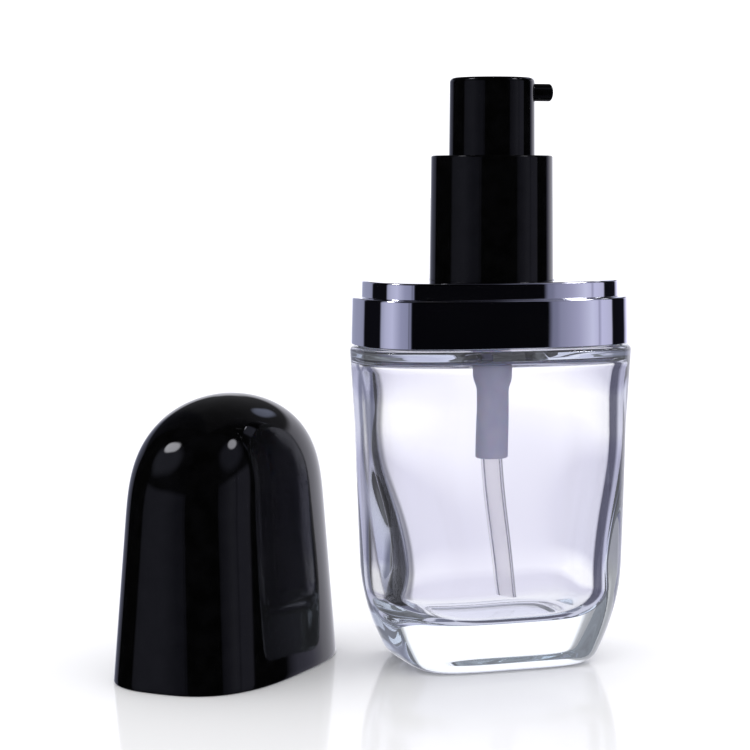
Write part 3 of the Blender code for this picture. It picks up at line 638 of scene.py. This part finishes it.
def actuator():
    """The button, with a rounded rim and a faintly dished top; the spout runs through its side."""
    bottom, top, edge, lid = 80.0 * MM, 99.7 * MM, 0.8 * MM, 0.75 * MM
    wide, narrow, bore = 7.35 * MM, 7.2 * MM, 6.4 * MM
    profile = [(bore, bottom + 0.15 * MM), (bore + 0.15 * MM, bottom)]
    profile += arc((wide - 0.2 * MM, bottom + 0.2 * MM), 0.2 * MM, -90, 0)
    profile += [(wide - 0.05 * MM, bottom + 6 * MM)]
    profile += arc((narrow - edge, top - edge), edge, 0, 90, 8)
    profile += [
        (5.9 * MM, top - 0.01 * MM), (4.0 * MM, top - 0.10 * MM), (2.0 * MM, top - 0.16 * MM),
        (0, top - 0.18 * MM), (0, top - lid), (bore, top - lid),
    ]
    obj = turned("actuator_gloss", profile, BLACK)
    even_normals(obj)
    return obj


def nozzle():
    """The spout: a collared root, a straight barrel, a rounded rim and the open bore."""
    height = 97.3 * MM
    bore, radius, edge = 0.55 * MM, 1.5 * MM, 0.4 * MM
    start, end = 6.2 * MM, 10.75 * MM
    profile = [(bore, 4.4 * MM), (0.85 * MM, 4.4 * MM), (0.85 * MM, start), (radius, start)]
    profile += arc((radius - edge, end - edge), edge, 0, 90)
    profile += arc((bore + 0.15 * MM, end - 0.15 * MM), 0.15 * MM, 90, 180, 4)
    obj = turned("nozzle_gloss", profile, BLACK, 64)
    obj.data.transform(Matrix.Translation((0, 0, height)) @ Matrix.Rotation(math.pi / 2, 4, "Y"))
    even_normals(obj)
    return obj


def housing():
    """The pump's barrel, throat and tail."""
    profile = (
        (1.9, 35.1), (2.1, 34.9), (2.55, 34.9), (2.75, 35.1), (2.78, 41.0), (2.75, 46.6),
        (2.82, 47.1), (3.2, 48.2), (3.32, 48.9), (3.35, 50.5), (3.35, 54.2), (3.6, 54.8),
        (5.15, 56.7), (5.4, 57.3), (5.4, 71.0), (7.5, 71.0), (7.7, 71.2), (7.7, 71.7),
        (7.5, 71.9), (5.4, 71.9), (5.4, 75.8), (5.2, 76.0), (4.6, 76.0), (4.4, 75.8),
        (4.4, 57.5), (2.0, 57.5), (2.0, 54.4), (1.45, 53.8), (2.0, 53.6), (2.0, 50.6),
        (1.1, 49.6), (1.1, 47.6), (1.9, 47.6),
    )
    profile = [(radius * MM, z * MM) for radius, z in profile]
    obj = turned("housing_moulded", profile, NATURAL_SHADED, 96)
    even_normals(obj)
    return obj


def dip_tube():
    """The tube, leaning towards +X, with its slanted end."""
    socket_end, cut_zone, cut_height = 34.9 * MM, 3 * MM, 1.2 * MM
    path = [Vector((0, 0, 47.4 * MM)), Vector((0, 0, 41.0 * MM))]
    steps = 40
    for i in range(steps + 1):
        share = i / steps
        z = socket_end + (TUBE_BOTTOM - socket_end) * share
        path.append(Vector((TUBE_LEAN * (0.75 * share + 0.25 * share**2), 0, z)))
    obj = swept("dip_tube_clear", path, TUBE_RADIUS, TUBE, 48, TUBE_BORE_RADIUS)
    for vert in obj.data.vertices:
        low = max(0.0, 1 - (vert.co.z - TUBE_BOTTOM) / cut_zone)
        across = (vert.co.x - TUBE_LEAN) / TUBE_RADIUS
        vert.co.z += cut_height * low * (1 - across) / 2
    return obj


def spring():
    """The return spring, with closed end coils."""
    coils, per_coil, wire, radius = 6, 40, 0.3 * MM, 3.5 * MM
    low, high = 57.7 * MM, 67.2 * MM
    path = []
    for i in range(coils * per_coil + 1):
        share = i / (coils * per_coil)
        lift = min(max((share - 0.5 / coils) / (1 - 1 / coils), 0), 1)
        z = low + wire + (high - low - 2 * wire) * (0.12 * share + 0.88 * lift)
        angle = 2 * math.pi * coils * share
        path.append(Vector((radius * math.cos(angle), radius * math.sin(angle), z)))
    return swept("spring_coil", path, wire, STEEL, 12)


def crown_levels(height, count):
    """Levels from the rim to the crown, closer together towards the top."""
    return [height * math.sin(math.pi / 2 * k / count) ** 0.9 for k in range(1, count)]


def cap_outer():
    """The domed cap with its wall, rounded rim and inner crown."""
    inner_height = CAP_HEIGHT - CAP_CROWN_WALL
    rim = 0.3 * MM
    rings = []
    for z in reversed(crown_levels(inner_height, 40)):
        rings.append(cap_ring(z, CAP_WALL, inner_height))
    for angle in quarter(4):
        wall = CAP_WALL - rim * (1 - math.cos(angle))
        rings.append(cap_ring(rim * (1 - math.sin(angle)), wall, CAP_HEIGHT))
    for angle in quarter(4):
        wall = rim * (1 - math.sin(angle))
        rings.append(cap_ring(rim * (1 - math.cos(angle)), wall, CAP_HEIGHT))
    for z in crown_levels(CAP_HEIGHT, 110):
        if z > 2 * rim:
            rings.append(cap_ring(z, 0.0, CAP_HEIGHT))
    return skin("cap_dome", rings, BLACK, sharp=50)


def cap_inner():
    """The liner: a plate inside the rim and the round socket with its grip bead."""
    low, floor, top = 3.2 * MM, 4.4 * MM, 20.0 * MM
    bore, outer, bead = 10.9 * MM, 11.5 * MM, 5.9 * MM
    half_width = COLLAR_HALF_WIDTH - CAP_WALL - BODY_DRAFT * floor - 0.2 * MM
    half_depth = COLLAR_HALF_DEPTH - CAP_WALL - BODY_DRAFT * floor - 0.2 * MM
    rings = [
        oval(half_width - 0.1 * MM, half_depth - 0.1 * MM, OVAL_POWER, low),
        oval(half_width, half_depth, OVAL_POWER, low + 0.1 * MM),
        oval(half_width, half_depth, OVAL_POWER, floor),
        circle(outer + 0.3 * MM, floor), circle(outer, floor + 0.3 * MM),
        circle(outer, top - 0.15 * MM), circle(outer - 0.15 * MM, top),
        circle(bore + 0.15 * MM, top), circle(bore, top - 0.15 * MM),
        circle(bore, bead + 0.6 * MM), circle(bore - 0.15 * MM, bead),
        circle(bore, bead - 0.6 * MM),
        circle(bore, low + 0.4 * MM), circle(bore + 0.4 * MM, low),
    ]
    return skin("cap_socket", rings, NATURAL_SHADED, closed=True)


def place_cap(obj):
    """Moves a piece of the cap from the origin to where the cap stands."""
    spot = Matrix.Translation((*CAP_CENTRE, 0)) @ Matrix.Rotation(CAP_TURN, 4, "Z")
    obj.data.transform(spot)
    return obj


def add_pieces():
    """Builds each piece, puts it on its body and lets it stand for its CAD node."""
    pieces = [
        (glass_body(), "bottle", "glass_bottle", "clear_glass"),
        (collar(), "bottle", "collar_shell", "plated_silver"),
        (sleeve(), "closure", "sleeve_cover", "gloss_black"),
        (actuator(), "actuator", "actuator_shell", "gloss_black"),
        (nozzle(), "actuator", "nozzle_tip", "gloss_black"),
        (housing(), "pump", "pump_housing", "natural_polypropylene"),
        (dip_tube(), "pump", "dip_tube", "clear_polyethylene"),
        (spring(), "pump", "return_spring", "spring_steel"),
        (place_cap(cap_outer()), "cap", "cap_shell", "gloss_black"),
        (place_cap(cap_inner()), "cap", "cap_liner", "natural_polypropylene"),
    ]
    for piece, body, node, slot in pieces:
        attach(piece, body)
        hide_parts(node)
        if node == "return_spring":
            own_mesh(piece)


CARRIED_OVER = {
    "collar_insert": NATURAL_SHADED,
    "screw_closure": BLACK,
    "neck_gasket": SOFT,
    "stem_guide": NATURAL_SHADED,
    "inlet_ball": BALL,
    "stem": NATURAL_SHADED,
    "stem_valve": NATURAL_SHADED,
    "piston_seal": SOFT,
    "actuator_core": NATURAL_SHADED,
}


def finish_carried_nodes():
    """Gives each CAD node that stays its own procedural material."""
    for name, material in CARRIED_OVER.items():
        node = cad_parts[name]
        for slot in node.material_slots:
            slot.material = material


# Floor, light and camera.

FLOOR_REACH = 6.0
FLOOR_GAP = 0.05 * MM
FLOOR_MIRROR_SHARE = 0.24


def add_floor():
    """A pale floor with a faint soft mirror image in it, just under the object."""
    bm = bmesh.new()
    bmesh.ops.create_grid(bm, x_segments=1, y_segments=1, size=FLOOR_REACH)
    material = bpy.data.materials.new("pale_floor")
    material.use_nodes = True
    tree = material.node_tree
    tree.nodes.clear()
    matt = tree.nodes.new("ShaderNodeBsdfDiffuse")
    matt.inputs["Color"].default_value = (0.92, 0.92, 0.925, 1.0)
    mirror = tree.nodes.new("ShaderNodeBsdfGlossy")
    mirror.inputs["Roughness"].default_value = 0.10
    mix = tree.nodes.new("ShaderNodeMixShader")
    mix.inputs["Fac"].default_value = FLOOR_MIRROR_SHARE
    output = tree.nodes.new("ShaderNodeOutputMaterial")
    tree.links.new(matt.outputs["BSDF"], mix.inputs[1])
    tree.links.new(mirror.outputs["BSDF"], mix.inputs[2])
    tree.links.new(mix.outputs["Shader"], output.inputs["Surface"])
    floor = make_object("floor", bm, material)
    floor.visible_glossy = False
    floor.visible_transmission = False
    floor.location = (0, 0, -FLOOR_GAP)


# The photograph's view: the camera's turn and its look down in degrees, its place and its lens.
CAMERA_TURN = 18.6
CAMERA_LOOK_DOWN = 5.22
CAMERA_PLACE = (-0.1409, -0.3564, 0.08406)
CAMERA_LENS = 107.5
CAMERA_SENSOR = 36.0

# The plain white that the camera sees behind the object, and that lights it.
PLAIN_WHITE = (1.38, 1.38, 1.40, 1.0)

# What opaque surfaces mirror level with the horizon, by bearing. Bearings here are fixed in the
# world: 0 points from the object to behind the photograph's camera, + to that camera's right.
MIRROR_RING = (
    (-180, (1.20, 1.20, 1.30)),
    (-164, (1.00, 1.01, 1.12)),
    (-158, (0.36, 0.38, 0.52)),
    (-135, (0.26, 0.27, 0.38)),
    (-131, (0.004, 0.004, 0.006)),
    (-85, (0.004, 0.004, 0.006)),
    (-81, (0.34, 0.35, 0.48)),
    (-70, (0.46, 0.47, 0.64)),
    (-55, (0.52, 0.53, 0.72)),
    (-38, (0.30, 0.31, 0.45)),
    (-26, (0.25, 0.26, 0.38)),
    (-25, (0.07, 0.07, 0.10)),
    (-23.5, (0.26, 0.27, 0.40)),
    (-21, (0.002, 0.002, 0.003)),
    (45, (0.002, 0.002, 0.003)),
    (46, (0.17, 0.175, 0.26)),
    (48, (0.19, 0.195, 0.29)),
    (48.4, (0.03, 0.03, 0.05)),
    (49, (0.25, 0.255, 0.37)),
    (58, (0.38, 0.38, 0.54)),
    (68, (0.60, 0.61, 0.80)),
    (74, (0.52, 0.52, 0.72)),
    (75, (0.20, 0.20, 0.30)),
    (76.5, (0.56, 0.56, 0.78)),
    (91, (0.50, 0.50, 0.68)),
    (93, (0.004, 0.004, 0.006)),
    (121, (0.006, 0.006, 0.010)),
    (125, (0.30, 0.30, 0.42)),
    (129, (0.60, 0.59, 0.80)),
    (138, (1.15, 1.14, 1.30)),
    (180, (1.20, 1.20, 1.30)),
)

# How bright that ring is at each height of the direction (its sine).
MIRROR_HEIGHT = (
    (-1.0, 0.1), (-0.5, 0.5), (-0.25, 0.85), (-0.1, 1.0),
    (0.27, 1.0), (0.34, 0.12), (0.7, 0.10), (1.0, 0.05),
)

# What clear pieces see through themselves, by the height of the direction (its sine).
CLEAR_HEIGHT = (
    (-1.0, (1.0, 0.99, 1.06)),
    (-0.60, (0.96, 0.95, 1.04)),
    (-0.30, (0.82, 0.80, 0.95)),
    (-0.20, (0.80, 0.78, 0.93)),
    (-0.165, (0.91, 0.89, 1.03)),
    (-0.14, (0.98, 0.96, 1.09)),
    (-0.12, (1.04, 1.02, 1.13)),
    (-0.10, (1.10, 1.08, 1.17)),
    (-0.08, (1.18, 1.16, 1.22)),
    (0.30, (1.18, 1.16, 1.22)),
    (1.0, (0.9, 0.9, 1.0)),
)

# How much of that is left at each bearing: straight through, and after an inner reflection.
CLEAR_RING = (
    (-180, 1.0), (-158, 1.0), (-151, 0.35), (-132, 0.35), (-122, 1.0), (90, 1.0),
    (112, 0.75), (118, 0.45), (126, 0.5), (134, 1.0), (180, 1.0),
)
BOUNCED_RING = (
    (-180, (0.66, 0.67, 0.76)), (-158, (0.60, 0.61, 0.70)), (-148, (0.16, 0.17, 0.23)),
    (-95, (0.10, 0.10, 0.14)), (-60, (0.30, 0.31, 0.38)), (-30, (0.60, 0.61, 0.70)),
    (30, (0.60, 0.61, 0.70)), (60, (0.30, 0.31, 0.38)), (95, (0.07, 0.07, 0.10)),
    (138, (0.09, 0.09, 0.13)), (152, (0.60, 0.61, 0.70)), (180, (0.66, 0.67, 0.76)),
)


class Wiring:
    """Shorthand for making and joining shader nodes."""

    def __init__(self, tree):
        self.tree = tree

    def put(self, socket, value):
        """Links a socket to another, or sets its value."""
        if isinstance(value, bpy.types.NodeSocket):
            self.tree.links.new(value, socket)
        else:
            socket.default_value = value

    def math(self, operation, first, second=0.0):
        node = self.tree.nodes.new("ShaderNodeMath")
        node.operation = operation
        self.put(node.inputs[0], first)
        self.put(node.inputs[1], second)
        return node.outputs["Value"]

    def ramp(self, factor, stops, low, high):
        """A colour or a grey by a value between low and high."""
        node = self.tree.nodes.new("ShaderNodeValToRGB")
        elements = node.color_ramp.elements
        while len(elements) < len(stops):
            elements.new(0.5)
        for element, (place, colour) in zip(elements, sorted(stops)):
            element.position = (place - low) / (high - low)
            element.color = (*(colour if isinstance(colour, tuple) else (colour,) * 3), 1.0)
        span = self.math("DIVIDE", self.math("SUBTRACT", factor, low), high - low)
        self.put(node.inputs["Fac"], span)
        return node.outputs["Color"]

    def mix(self, blend, factor, first, second):
        node = self.tree.nodes.new("ShaderNodeMix")
        node.data_type = "RGBA"
        node.blend_type = blend
        self.put(node.inputs["Factor"], factor)
        self.put(node.inputs["A"], first)
        self.put(node.inputs["B"], second)
        return node.outputs["Result"]

    def near(self, direction, place, inner, outer):
        """1 within inner degrees of a direction, 0 beyond outer degrees, smooth between."""
        dot = self.tree.nodes.new("ShaderNodeVectorMath")
        dot.operation = "DOT_PRODUCT"
        self.put(dot.inputs[0], direction)
        dot.inputs[1].default_value = place
        spread = self.tree.nodes.new("ShaderNodeMapRange")
        spread.interpolation_type = "SMOOTHSTEP"
        spread.inputs["From Min"].default_value = math.cos(math.radians(outer))
        spread.inputs["From Max"].default_value = math.cos(math.radians(inner))
        self.put(spread.inputs["Value"], dot.outputs["Value"])
        return spread.outputs["Result"]


def towards(bearing, elevation):
    """Unit vector at a bearing as above and a height above the horizon, both in degrees."""
    angle = math.radians(-90 - CAMERA_TURN + bearing)
    rise = math.radians(elevation)
    return (math.cos(angle) * math.cos(rise), math.sin(angle) * math.cos(rise), math.sin(rise))


# Round lamps that only mirrors see: bearing, elevation, radius at full strength and radius of the
# faded edge in degrees, and colour. The first two are small and bright, the next two lie wide and
# soft beside them, and the last two are small and weaker.
LAMPS = (
    (-90, 55, 4, 7, (14.0, 14.0, 15.0)),
    (84, 49, 4, 7, (12.0, 12.0, 13.0)),
    (-76, 44, 8, 20, (0.55, 0.57, 0.75)),
    (72, 40, 8, 20, (0.40, 0.41, 0.58)),
    (151, 31, 3, 7, (0.9, 1.0, 1.4)),
    (112, 44, 2, 4, (4.0, 4.1, 4.6)),
)


def set_world():
    """Plain white surroundings, with a ring of soft panels for what mirrors and glass show."""
    world = bpy.data.worlds.new("studio")
    bpy.context.scene.world = world
    world.use_nodes = True
    tree = world.node_tree
    wiring = Wiring(tree)
    coordinates = tree.nodes.new("ShaderNodeTexCoord")
    direction = coordinates.outputs["Generated"]
    parts = tree.nodes.new("ShaderNodeSeparateXYZ")
    tree.links.new(direction, parts.inputs["Vector"])
    # The bearing in degrees, wrapped to -180 to 180.
    compass = wiring.math("ARCTAN2", parts.outputs["Y"], parts.outputs["X"])
    compass = wiring.math("MULTIPLY", compass, 180 / math.pi)
    bearing = wiring.math("WRAP", wiring.math("ADD", compass, 90 + CAMERA_TURN), 180)
    bearing.node.inputs[2].default_value = -180
    height = parts.outputs["Z"]

    mirrored = wiring.ramp(bearing, MIRROR_RING, -180, 180)
    mirrored = wiring.mix("MULTIPLY", 1.0, mirrored, wiring.ramp(height, MIRROR_HEIGHT, -1, 1))
    for lamp_bearing, elevation, inner, outer, colour in LAMPS:
        spot = wiring.near(direction, towards(lamp_bearing, elevation), inner, outer)
        mirrored = wiring.mix("ADD", spot, mirrored, (*colour, 1.0))
    clear = wiring.ramp(height, CLEAR_HEIGHT, -1, 1)

    paths = tree.nodes.new("ShaderNodeLightPath")
    bounced = wiring.math("MINIMUM", paths.outputs["Glossy Depth"], 1.0)
    straight_ring = wiring.ramp(bearing, CLEAR_RING, -180, 180)
    bounced_ring = wiring.ramp(bearing, BOUNCED_RING, -180, 180)
    ring = wiring.mix("MIX", bounced, straight_ring, bounced_ring)
    clear = wiring.mix("MULTIPLY", 1.0, clear, ring)
    through = paths.outputs["Is Transmission Ray"]
    seen = wiring.mix("MIX", through, PLAIN_WHITE, clear)
    # Refracted rays count as glossy too, so they are taken out of the mirrored ones.
    not_through = wiring.math("SUBTRACT", 1.0, through)
    is_mirror = wiring.math("MULTIPLY", paths.outputs["Is Glossy Ray"], not_through)
    seen = wiring.mix("MIX", is_mirror, seen, mirrored)
    tree.links.new(seen, tree.nodes["Background"].inputs["Color"])


def add_camera():
    """The camera at the photograph's viewing angle."""
    data = bpy.data.cameras.new("camera")
    camera = bpy.data.objects.new("camera", data)
    bpy.context.collection.objects.link(camera)
    data.sensor_width = CAMERA_SENSOR
    data.lens = CAMERA_LENS
    data.clip_start = 0.01
    camera.location = CAMERA_PLACE
    camera.rotation_euler = (math.radians(90 - CAMERA_LOOK_DOWN), 0, math.radians(-CAMERA_TURN))
    bpy.context.scene.camera = camera


def main():
    add_pieces()
    finish_carried_nodes()
    add_floor()
    set_world()
    add_camera()
    bpy.context.scene.view_settings.view_transform = "Standard"


main()
